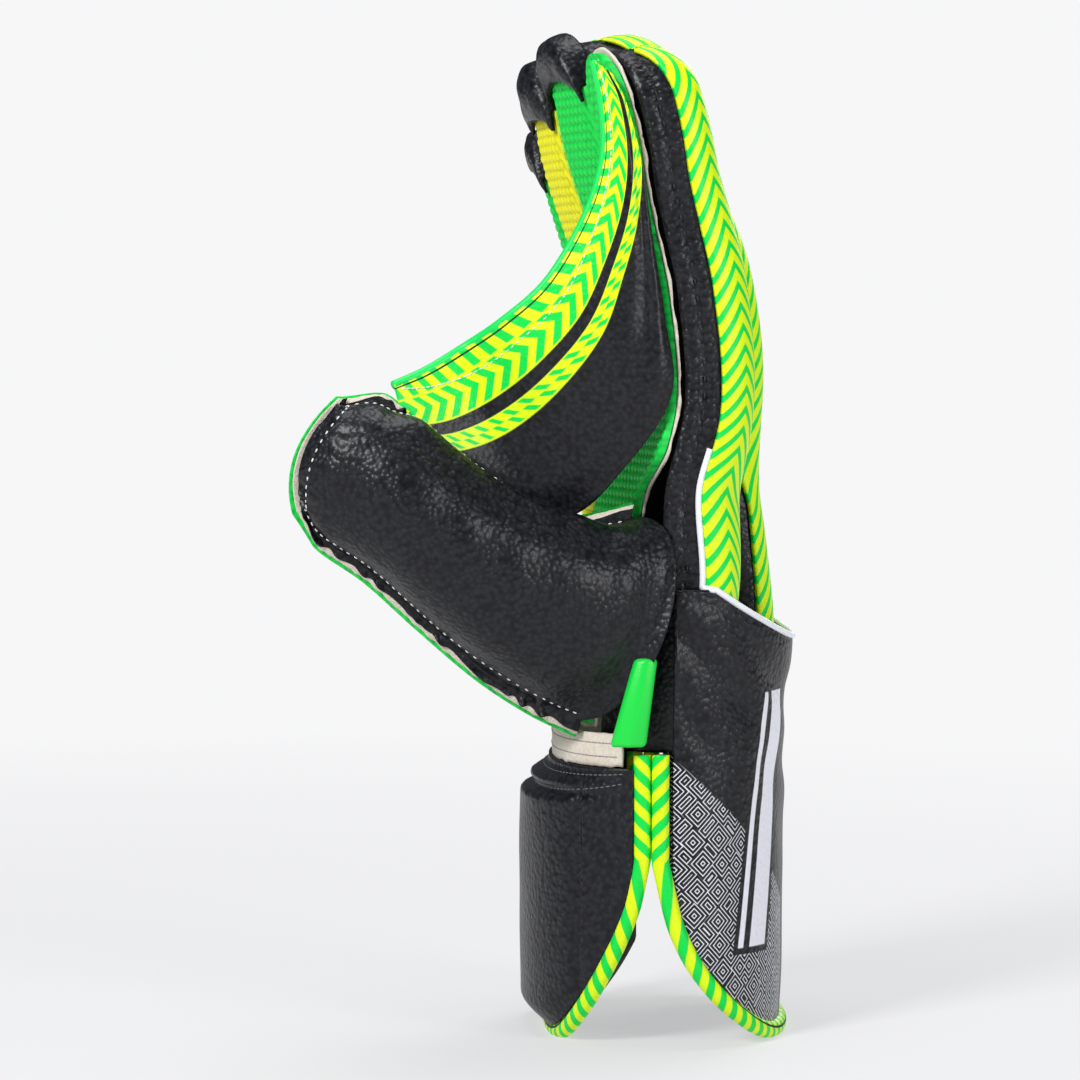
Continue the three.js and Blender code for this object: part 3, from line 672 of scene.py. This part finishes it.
# Stitches.
# Waxed thread in a running stitch. Each stitch is a small bar that sinks into the leather at its ends.
white_thread = Finish("white_thread", (0.75, 0.75, 0.72), 0.7)
black_thread = Finish("black_thread", (0.012, 0.012, 0.014), 0.6)
THUMB_STITCH = (1.3, 0.26)  # mm: length and radius


def stitches(name, route, count, finish, slot, length=2.0, radius=0.32):
    """A row of stitches along route(t), t from 0 to 1."""
    row = bmesh.new()
    for i in range(count):
        t = (i + 0.5) / count
        middle = (route(t) + ORIGIN) * 0.001
        way = (route(min(t + 0.002, 1)) - route(max(t - 0.002, 0))).normalized()
        turn = way.to_track_quat("Z", "Y").to_matrix().to_4x4()
        grow = Matrix.Diagonal((radius * 0.001, radius * 0.001, length * 0.0005, 1))
        matrix = Matrix.Translation(middle) @ turn @ grow
        bmesh.ops.create_uvsphere(row, u_segments=6, v_segments=5, radius=1, matrix=matrix)
    return piece(name, row, finish, merge=0, recalc=False)


def dome_stitch(side):
    def route(t):
        u = GATHER * 1.6 if side == "lower" else 1 - GATHER * 1.6
        return dome_face(u, 0.04 + 0.94 * t, 1) + THUMB_NORMAL * 0.15
    return route


for side in ("lower", "upper"):
    stitches(f"thumb_stitch_{side}", dome_stitch(side), 40, white_thread, "black_leather", *THUMB_STITCH)


def dome_end_stitch(t):
    return dome_face(lerp(0.1, 0.9, t), 0.962, 1) + THUMB_NORMAL * 0.15


stitches("thumb_stitch_end", dome_end_stitch, 16, white_thread, "black_leather", *THUMB_STITCH)


def stall_seam(f):
    def route(t):
        return stall_point(f, SIDE_SEAM, lerp(0.02, 0.86, t), 0.25)
    return route


for f, finger in enumerate(FINGERS):
    stitches(f"finger_seam_{finger}", stall_seam(f), 40, black_thread, "black_leather", 1.9, 0.36)

# Catching web.
# Stretched leather between the index finger and the thumb. It is printed in bands beside its free edge,
# which is bound with a rolled green edge, and sewn to the finger and the thumb by the other edge.
WEB_THICKNESS = 2.6
WEB = {
    "along": tuple(i / 9 for i in range(10)),
    "free_x": (0.205, 0.235, 0.245, 0.215, 0.14, 0.02, -0.14, -0.29, -0.43, -0.55),
    "free_z": (0.968, 0.93, 0.885, 0.845, 0.8, 0.752, 0.716, 0.69, 0.668, 0.654),
    "sewn_x": (0.275, 0.33, 0.385, 0.425, 0.475, 0.5, 0.33, 0.1, -0.2, -0.52),
    "sewn_z": (0.955, 0.925, 0.87, 0.8, 0.72, 0.645, 0.575, 0.524, 0.558, 0.627),
    "out": (0.558, 0.5555, 0.55, 0.541, 0.532, 0.529, 0.49, 0.43, 0.48, 0.55),
    "bands": (7, 9, 12, 16, 19, 23, 27, 29, 27, 22),
}
WEB_BELLY = 0.03
BINDING_R = 1.35


def web_edge(side, at):
    x, z = read(WEB, "along", side + "_x", at), read(WEB, "along", side + "_z", at)
    return Vector((x * HAND_DEPTH, 0, z * GLOVE_LENGTH))


def web_point(u, v):
    point = web_edge("free", v).lerp(web_edge("sewn", v), u)
    belly = WEB_BELLY * math.sin(math.pi * u) * math.sin(math.pi * v)
    point.y = -HAND_WIDTH * (read(WEB, "along", "out", v) + belly)
    return point


def web_chart(u, v):
    wide = (web_edge("sewn", v) - web_edge("free", v)).length
    return u * wide / read(WEB, "along", "bands", v), v * 190


web_print = grained_leather("printed_web", LIME, 0.38, 1.4, 0.13)
across, along = web_print.chart()
blocks = ((along + across * 14) / 8.5).cycle().between(0.28, 0.75, 0.05)
points = chevrons(web_print, across * 30, along * -1, 12, 1.1, 8.2, 0.5)
inner_blocks = ((along + across * 40) / 7.0).cycle().between(0.3, 0.66, 0.06)
inner_shift = ((along + across * 40 + 3.5) / 7.0).cycle().between(0.3, 0.66, 0.06)
checks = web_print.mix(across.above(0.885, 0.01), inner_blocks, inner_shift)
checks = web_print.node("RGBToBW", {}, {0: checks})
ink = blocks * across.between(0.0, 0.22, 0.01) + points * across.between(0.25, 0.60, 0.01)
ink = ink + checks * across.between(0.79, 0.98, 0.01)
color = web_print.mix(ink, (*LIME, 1), (*GREEN, 1))
bare = across.above(1.0, 0.015) + across.between(0.62, 0.775, 0.012) + across.between(0.045, 0.065, 0.008)
web_print.feed(web_print.shader.inputs["Base Color"], web_print.mix(bare, color, web_print.dark))

web = bmesh.new()


def web_face(u, v, w):
    point = web_point(u, v)
    pull = 0.9 * math.sin(u * 19 + v * 7) * smooth(u, 0.5, 1) * math.sin(math.pi * v)
    return point + Vector((0, WEB_THICKNESS * (0.5 - w) - pull - creases(point, 22, 1.2), 0))


bend(web, web_face, 70, 200, web_chart)
piece("web_leather", web, web_print, ["web"])


def tube(shape, route, radius, steps, sides=16, outward=Vector((0, 1, 0)), chart=None, flat=False):
    """Adds a round cord along route(t). outward gives the direction from which turns are counted."""
    def place(u, v, w):
        way = (route(min(v + 0.002, 1)) - route(max(v - 0.002, 0))).normalized()
        first = (outward - way * outward.dot(way)).normalized()
        turn = 2 * math.pi * u
        point = route(v) + (first * math.cos(turn) + way.cross(first) * math.sin(turn)) * radius
        point.z = max(point.z, 0) if flat else point.z
        return point

    bend(shape, place, sides, steps, chart, wall=False)
    bmesh.ops.remove_doubles(shape, verts=shape.verts, dist=2e-6)
    bmesh.ops.holes_fill(shape, edges=[edge for edge in shape.edges if edge.is_boundary], sides=0)


green_binding = Finish("green_binding", (0.0, 0.70, 0.10), 0.4, Specular_IOR_Level=0.5)
green_binding.relief(green_binding.noise(1.2), 0.1)
binding = bmesh.new()
tube(binding, lambda t: web_face(0.0, t, 0.5), BINDING_R, 160)
piece("web_binding", binding, green_binding)


def web_row(t):
    inwards = lerp(0.28, 0.17, smooth(t, 0, 0.4)) * 0.8
    return web_face(inwards, 0.02 + 0.96 * t, 1) - Vector((0, 0.1, 0))


stitches("web_stitch", web_row, 70, white_thread, "web_leather", 1.5, 0.22)

# Cuff, back half.
# One shell of grained leather over the back of the wrist, printed with fine white lines low on each side
# and with two plain bars above them. A white line edges its top where the fingers come out of it.
CUFF_HEIGHT = 88
CUFF_WIDTH = 104
CUFF_CENTRE = 0.42
CUFF_TOP = 123.5  # height of the gauntlet's top edge at the back, from which it climbs to the sides
GAUNTLET_REACH = 0.54
PAD_REACH = 0.36
PIPING_R = 2.7
EDGE_TURN = math.radians(83)
GAUNTLET_HEM = {"angle": (0, 28, 50, 70, 82, 88), "height": (0, 0, 0.07, 0.21, 0.4, 0.66)}
PAD_HEM = {"angle": (0, 30, 50, 68, 82, 88), "height": (0, 0, 0.1, 0.26, 0.46, 0.66)}
GAUNTLET = {
    "height": (0, 0.08, 0.27, 0.38, 0.44),
    "reach": (0.97, 1, 1, 1.02, 0.98),
    "width": (1, 0.99, 0.97, 0.97, 0.95),
}
WIDE_BAR = (34, 43)  # mm from the middle of the back, at the foot of the bar
THIN_BAR = (46, 48.5)
BAR_HEIGHT = (30, 108)
BAR_MARGIN = 2


def cuff_point(side, turn, reach, width, z):
    x = CUFF_CENTRE * HAND_DEPTH + side * reach * math.cos(turn) ** 0.85
    return Vector((x, width / 2 * math.copysign(abs(math.sin(turn)) ** 0.85, turn), z))


def hem_height(hem, turn):
    return read(hem, "angle", "height", abs(math.degrees(turn))) * CUFF_HEIGHT


def above_hem(hem, turn, reach):
    slope = (hem_height(hem, turn + 0.02) - hem_height(hem, turn - 0.02)) / (0.04 * reach)
    return hem_height(hem, turn) + PIPING_R + (PIPING_R - 1.2) * math.hypot(1, slope)


def gauntlet_size(z):
    at = z / GLOVE_LENGTH
    reach = read(GAUNTLET, "height", "reach", at) * GAUNTLET_REACH * HAND_DEPTH
    return reach, read(GAUNTLET, "height", "width", at) * CUFF_WIDTH


def gauntlet_point(u, v):
    turn = lerp(-EDGE_TURN, EDGE_TURN, u)
    low = above_hem(GAUNTLET_HEM, turn, GAUNTLET_REACH * HAND_DEPTH)
    behind = GAUNTLET_REACH * HAND_DEPTH * (1 - math.cos(turn) ** 0.85)
    z = lerp(low, CUFF_TOP + min(behind * 0.72, 17), v)
    return cuff_point(1, turn, *gauntlet_size(z), z)


def gauntlet_chart(u, v):
    point = gauntlet_point(u, v)
    return lerp(-EDGE_TURN, EDGE_TURN, u) * 46, point.z


cuff_leather = grained_leather("cuff_leather", BLACK, 0.37, 1.6, 0.24)
across, along = cuff_leather.chart()
side = across.distance()
square_cells = {"voronoi_dimensions": "2D", "distance": "MANHATTAN"}
cuff_map = cuff_leather.node("UVMap", {"uv_map": "chart"}, {})
sockets = {"Vector": cuff_map, "Scale": 0.13, "Randomness": 0.55}
rings = cuff_leather.node("TexVoronoi", square_cells, sockets)
lines = (rings * 5).cycle().between(0.38, 0.62, 0.14)
low_side = (side * 0.85 - along).above(-32, 1.0) * side.above(12, 1.0)
sweep = side + along * 0.16
bars = (sweep.between(*WIDE_BAR, 0.3) + sweep.between(*THIN_BAR, 0.3)) * along.between(*BAR_HEIGHT, 0.4)
clear = sweep.between(WIDE_BAR[0] - BAR_MARGIN, THIN_BAR[1] + BAR_MARGIN, 0.3)
clear = clear * along.between(BAR_HEIGHT[0] - BAR_MARGIN, BAR_HEIGHT[1] + BAR_MARGIN, 0.3)
print_mask = lines * low_side * (1 - clear) + bars
cuff_leather.feed(cuff_leather.shader.inputs["Base Color"],
                  cuff_leather.mix(print_mask, cuff_leather.dark, (0.80, 0.81, 0.88, 1)))

gauntlet = bmesh.new()


def gauntlet_face(u, v, w):
    point = gauntlet_point(u, v)
    outward = Vector((point.x - CUFF_CENTRE * HAND_DEPTH, point.y, 0)).normalized()
    high = smooth(v, 0.35, 0.8) * (1 - smooth(v, 0.93, 1))
    flare = 2.4 * smooth(v, 0.86, 0.97)
    slanted = Vector((point.x / 11 + point.z / 16, point.y / 30, point.z / 30 - point.x / 40))
    fold = flare + 2.2 * high * noise.noise(slanted)
    return point + outward * (fold + creases(point, 20, 0.8) * math.sin(math.pi * v) - LEATHER * (1 - w))


bend(gauntlet, gauntlet_face, 150, 110, gauntlet_chart)
piece("gauntlet_leather", gauntlet, cuff_leather, ["gauntlet"])

white_edge = Finish("white_edge", (0.82, 0.83, 0.90), 0.45)
white_edge.relief(white_edge.noise(0.8), 0.05)
edge_line = bmesh.new()


def edge_route(t):
    """Down beside the index finger's strip, then along the top edge of the cuff."""
    beside = stall_point(0, STRIP_ARCS[0][0] - 0.012, lerp(0.22, 0.03, min(t / 0.25, 1)), -0.35)
    edge = gauntlet_face(lerp(0.09, 0.93, max((t - 0.28) / 0.72, 0)), 1.0, 1.0)
    return beside.lerp(edge, smooth(t, 0.25, 0.28))


tube(edge_line, edge_route, 1.0, 260, 8, Vector((0.3, 1, 0.2)))
piece("gauntlet_edge_line", edge_line, white_edge)

# Side gussets.
# Soft black leather that closes each side of the wrist, from the edge of the palm to the gauntlet.
for side, name in ((-1, "near"), (1, "far")):
    gusset = bmesh.new()

    def gusset_face(u, v, w, side=side):
        z = lerp(PALM_BOTTOM * GLOVE_LENGTH - 8, 0.452 * GLOVE_LENGTH, v)
        y = finger_line(0, z) + thumb_step(z) * 0.8 if side < 0 else finger_line(4, z) + 0.6
        start = palm_point(y, max(z, PALM_BOTTOM * GLOVE_LENGTH), 4.2)
        start.z = z
        end = cuff_point(1, side * EDGE_TURN * 0.97, *gauntlet_size(z), z) + Vector((0, -side * 2.4, 0))
        bulge = 3.2 * math.sin(math.pi * u) + creases(start, 12, 1.5)
        return start.lerp(end, u) + Vector((0, side * (bulge - 1.4 * (1 - w)), 0))

    bend(gusset, gusset_face, 24, 40)
    piece(f"side_gusset_{name}", gusset, black_leather)

# Wrist pad.
# The padded front half of the cuff: foam under black leather, drawn in at a collar between two rows of
# stitches and sewn through near its side edges.
PAD = 9
LINING = 9
PAD_WIDTH = CUFF_WIDTH * 0.955
PAD_SEAM = 0.95  # radians round from the middle of the pad
PAD_TOP = CUFF_HEIGHT - 2
PAD_EDGE = math.radians(83)


def pad_point(u, v, w):
    turn = lerp(PAD_EDGE, -PAD_EDGE, u)
    low = above_hem(PAD_HEM, turn, PAD_REACH * HAND_DEPTH)
    z = lerp(low, PAD_TOP, v)
    collar = 1 - 0.55 * math.exp(-((z - PAD_TOP + 8) / 1.6) ** 2)
    fill = PAD * smooth(z - low, -4, 0.08 * CUFF_HEIGHT) * (1 - smooth(z / PAD_TOP, 0.9, 0.99))
    fill *= math.cos(turn)
    seam = 1 - 0.5 * math.exp(-((abs(turn) - PAD_SEAM) / 0.035) ** 2)
    thick = LEATHER + fill * (collar * seam if w > 0.5 else 1)
    return cuff_point(-1, turn, PAD_REACH * HAND_DEPTH + w * thick, PAD_WIDTH + w * 2 * LEATHER, z)


pad_leather = grained_leather("pad_leather", BLACK, 0.37, 1.6, 0.22)
pad_leather.feed(pad_leather.shader.inputs["Base Color"], pad_leather.dark)
pad = bmesh.new()


def pad_face(u, v, w):
    """The pad, with its lining filled out inwards beside both edges."""
    point = pad_point(u, v, w)
    turn = abs(lerp(PAD_EDGE, -PAD_EDGE, u))
    beside = smooth(turn, 0.1, 0.7) * (1 - smooth(turn, 1.15, 1.42))
    lining = LINING * (1 - w) * beside * smooth(v, 0, 0.1) * (1 - smooth(v, 0.55, 0.95))
    return point + Vector((lining - creases(point, 15, 0.9) * w * math.sin(math.pi * v), 0, 0))


bend(pad, pad_face, 120, 90)
wrist_pad = piece("wrist_pad_leather", pad, pad_leather, ["wrist_pad"])


def pad_seam(side):
    def route(t):
        return pad_point(0.5 + side * PAD_SEAM / PAD_EDGE / 2, lerp(0.03, 0.93, t), 1)
    return route


def collar_row(height):
    return lambda t: pad_point(lerp(0.03, 0.97, t), height, 1)


dull_thread = Finish("dull_thread", (0.11, 0.11, 0.13), 0.35)
for side, word in ((-1, "far"), (1, "near")):
    stitches(f"wrist_pad_seam_{word}", pad_seam(side), 30, black_thread, "black_leather", 1.9, 0.35)
for word, height in (("upper", 0.965), ("lower", 0.9)):
    stitches(f"wrist_pad_collar_{word}", collar_row(height), 52, dull_thread, "black_leather", 1.5, 0.24)

# Piping.
# A round cord in printed leather sewn along both hems and up both side edges, where the two cords lie
# side by side. The glove stands on it, so it is pressed flat underneath.
FLAT = 0.4
PIPED_EDGE = math.radians(87.2)
RISE = 0.24  # share of the cord that climbs each side edge
CORD_ROUND = 17  # mm round the cord, and mm of cord in one unit of its route, on the rises and the hem
RISE_MAP = 125
HEM_MAP = 385

piping_print = printed("printed_piping")
across, along = piping_print.chart()
ink = chevrons(piping_print, across, along, CORD_ROUND / 2, 0.8, 6.5, 0.5)
crease = 1 - across.between(0.4, CORD_ROUND - 0.4, 0.2)
color = piping_print.mix(ink, (*LIME, 1), (*GREEN, 1))
piping_print.feed(piping_print.shader.inputs["Base Color"], piping_print.mix(crease, color, (*BLACK, 1)))


def hem_route(side, hem, size):
    def route(t):
        up = max(RISE - t, t - (1 - RISE), 0) / RISE
        turn = lerp(-PIPED_EDGE, PIPED_EDGE, min(max((t - RISE) / (1 - 2 * RISE), 0), 1))
        z = lerp(hem_height(hem, PIPED_EDGE), CUFF_HEIGHT, up) if up > 0 else hem_height(hem, turn)
        return cuff_point(side, turn, *size(z), z + PIPING_R - FLAT)
    return route


def hem_chart(u, v):
    climb = min(v, RISE) + max(v - (1 - RISE), 0)
    return u * CORD_ROUND, climb * RISE_MAP + (v - climb) * HEM_MAP


for side, name, hem, size in (
    (1, "gauntlet_piping", GAUNTLET_HEM, gauntlet_size),
    (-1, "wrist_pad_piping", PAD_HEM, lambda z: (PAD_REACH * HAND_DEPTH + 1, PAD_WIDTH)),
):
    cord = bmesh.new()
    tube(cord, hem_route(side, hem, size), PIPING_R, 260, 20, Vector((side, 0, 0.3)), hem_chart, flat=True)
    piece(f"{name}_cord", cord, piping_print, [name])

# Wrist strip.
# A band of raw pale leather round the palm side of the wrist, between pad and palm, with two rows of
# stitches.
STRIP_EDGE = math.radians(77)


def strip_point(u, v, w):
    z = lerp(PAD_TOP + 0.3, PALM_BOTTOM * GLOVE_LENGTH - BACKING_LIP - 0.9, v)
    turn = lerp(STRIP_EDGE, -STRIP_EDGE, u)
    return cuff_point(-1, turn, PAD_REACH * HAND_DEPTH - 1 + w * LEATHER, CUFF_WIDTH * 0.93 + w * 2, z)


def band_face(u, v, w):
    uneven = 0.5 * noise.noise(Vector((u * 30, v, 1)))
    return strip_point(u, v, w) + Vector((0, 0, uneven))


band = bmesh.new()
bend(band, band_face, 120, 10)
piece("wrist_strip_suede", band, suede, ["wrist_strip"])
grey_thread = Finish("grey_thread", (0.30, 0.26, 0.28), 0.8)


def band_row(height):
    return lambda t: strip_point(lerp(0.02, 0.98, t), height, 1)


for height in (0.3, 0.7):
    name = f"wrist_strip_stitch_{int(height * 10)}"
    stitches(name, band_row(height), 60, grey_thread, "raw_leather", 1.6, 0.22)

# Pull tab.
# A moulded green tab sewn into the joint between thumb and cuff, with a soft ridge down its middle.
TAB_LENGTH = 27
TAB_WIDTH = 10
TAB_THICKNESS = 3.2
tab_rubber = Finish("tab_rubber", (0.0, 0.66, 0.05), 0.38, Specular_IOR_Level=0.5)
tab_rubber.relief(tab_rubber.noise(0.7), 0.06)


def tab_point(u, v, w):
    crown = TAB_THICKNESS * (1 - (2 * u - 1) ** 2) * 0.5
    width = TAB_WIDTH * lerp(1.1, 0.7, v)
    lean = 5.5 * (v - 0.5)
    corner = Vector((0.37 * HAND_DEPTH, -CUFF_WIDTH * 0.5, CUFF_HEIGHT + 0.06 * GLOVE_LENGTH))
    return corner + Vector(((u - 0.5) * width + lean, -w * (TAB_THICKNESS + crown), (v - 0.5) * TAB_LENGTH))


tab = bmesh.new()
bend(tab, tab_point, 2, 2)
made = piece("wrist_tab_rubber", tab, tab_rubber, ["wrist_tab"])
rounding = made.modifiers.new("rounding", "BEVEL")
rounding.width = 0.0014
rounding.segments = 3
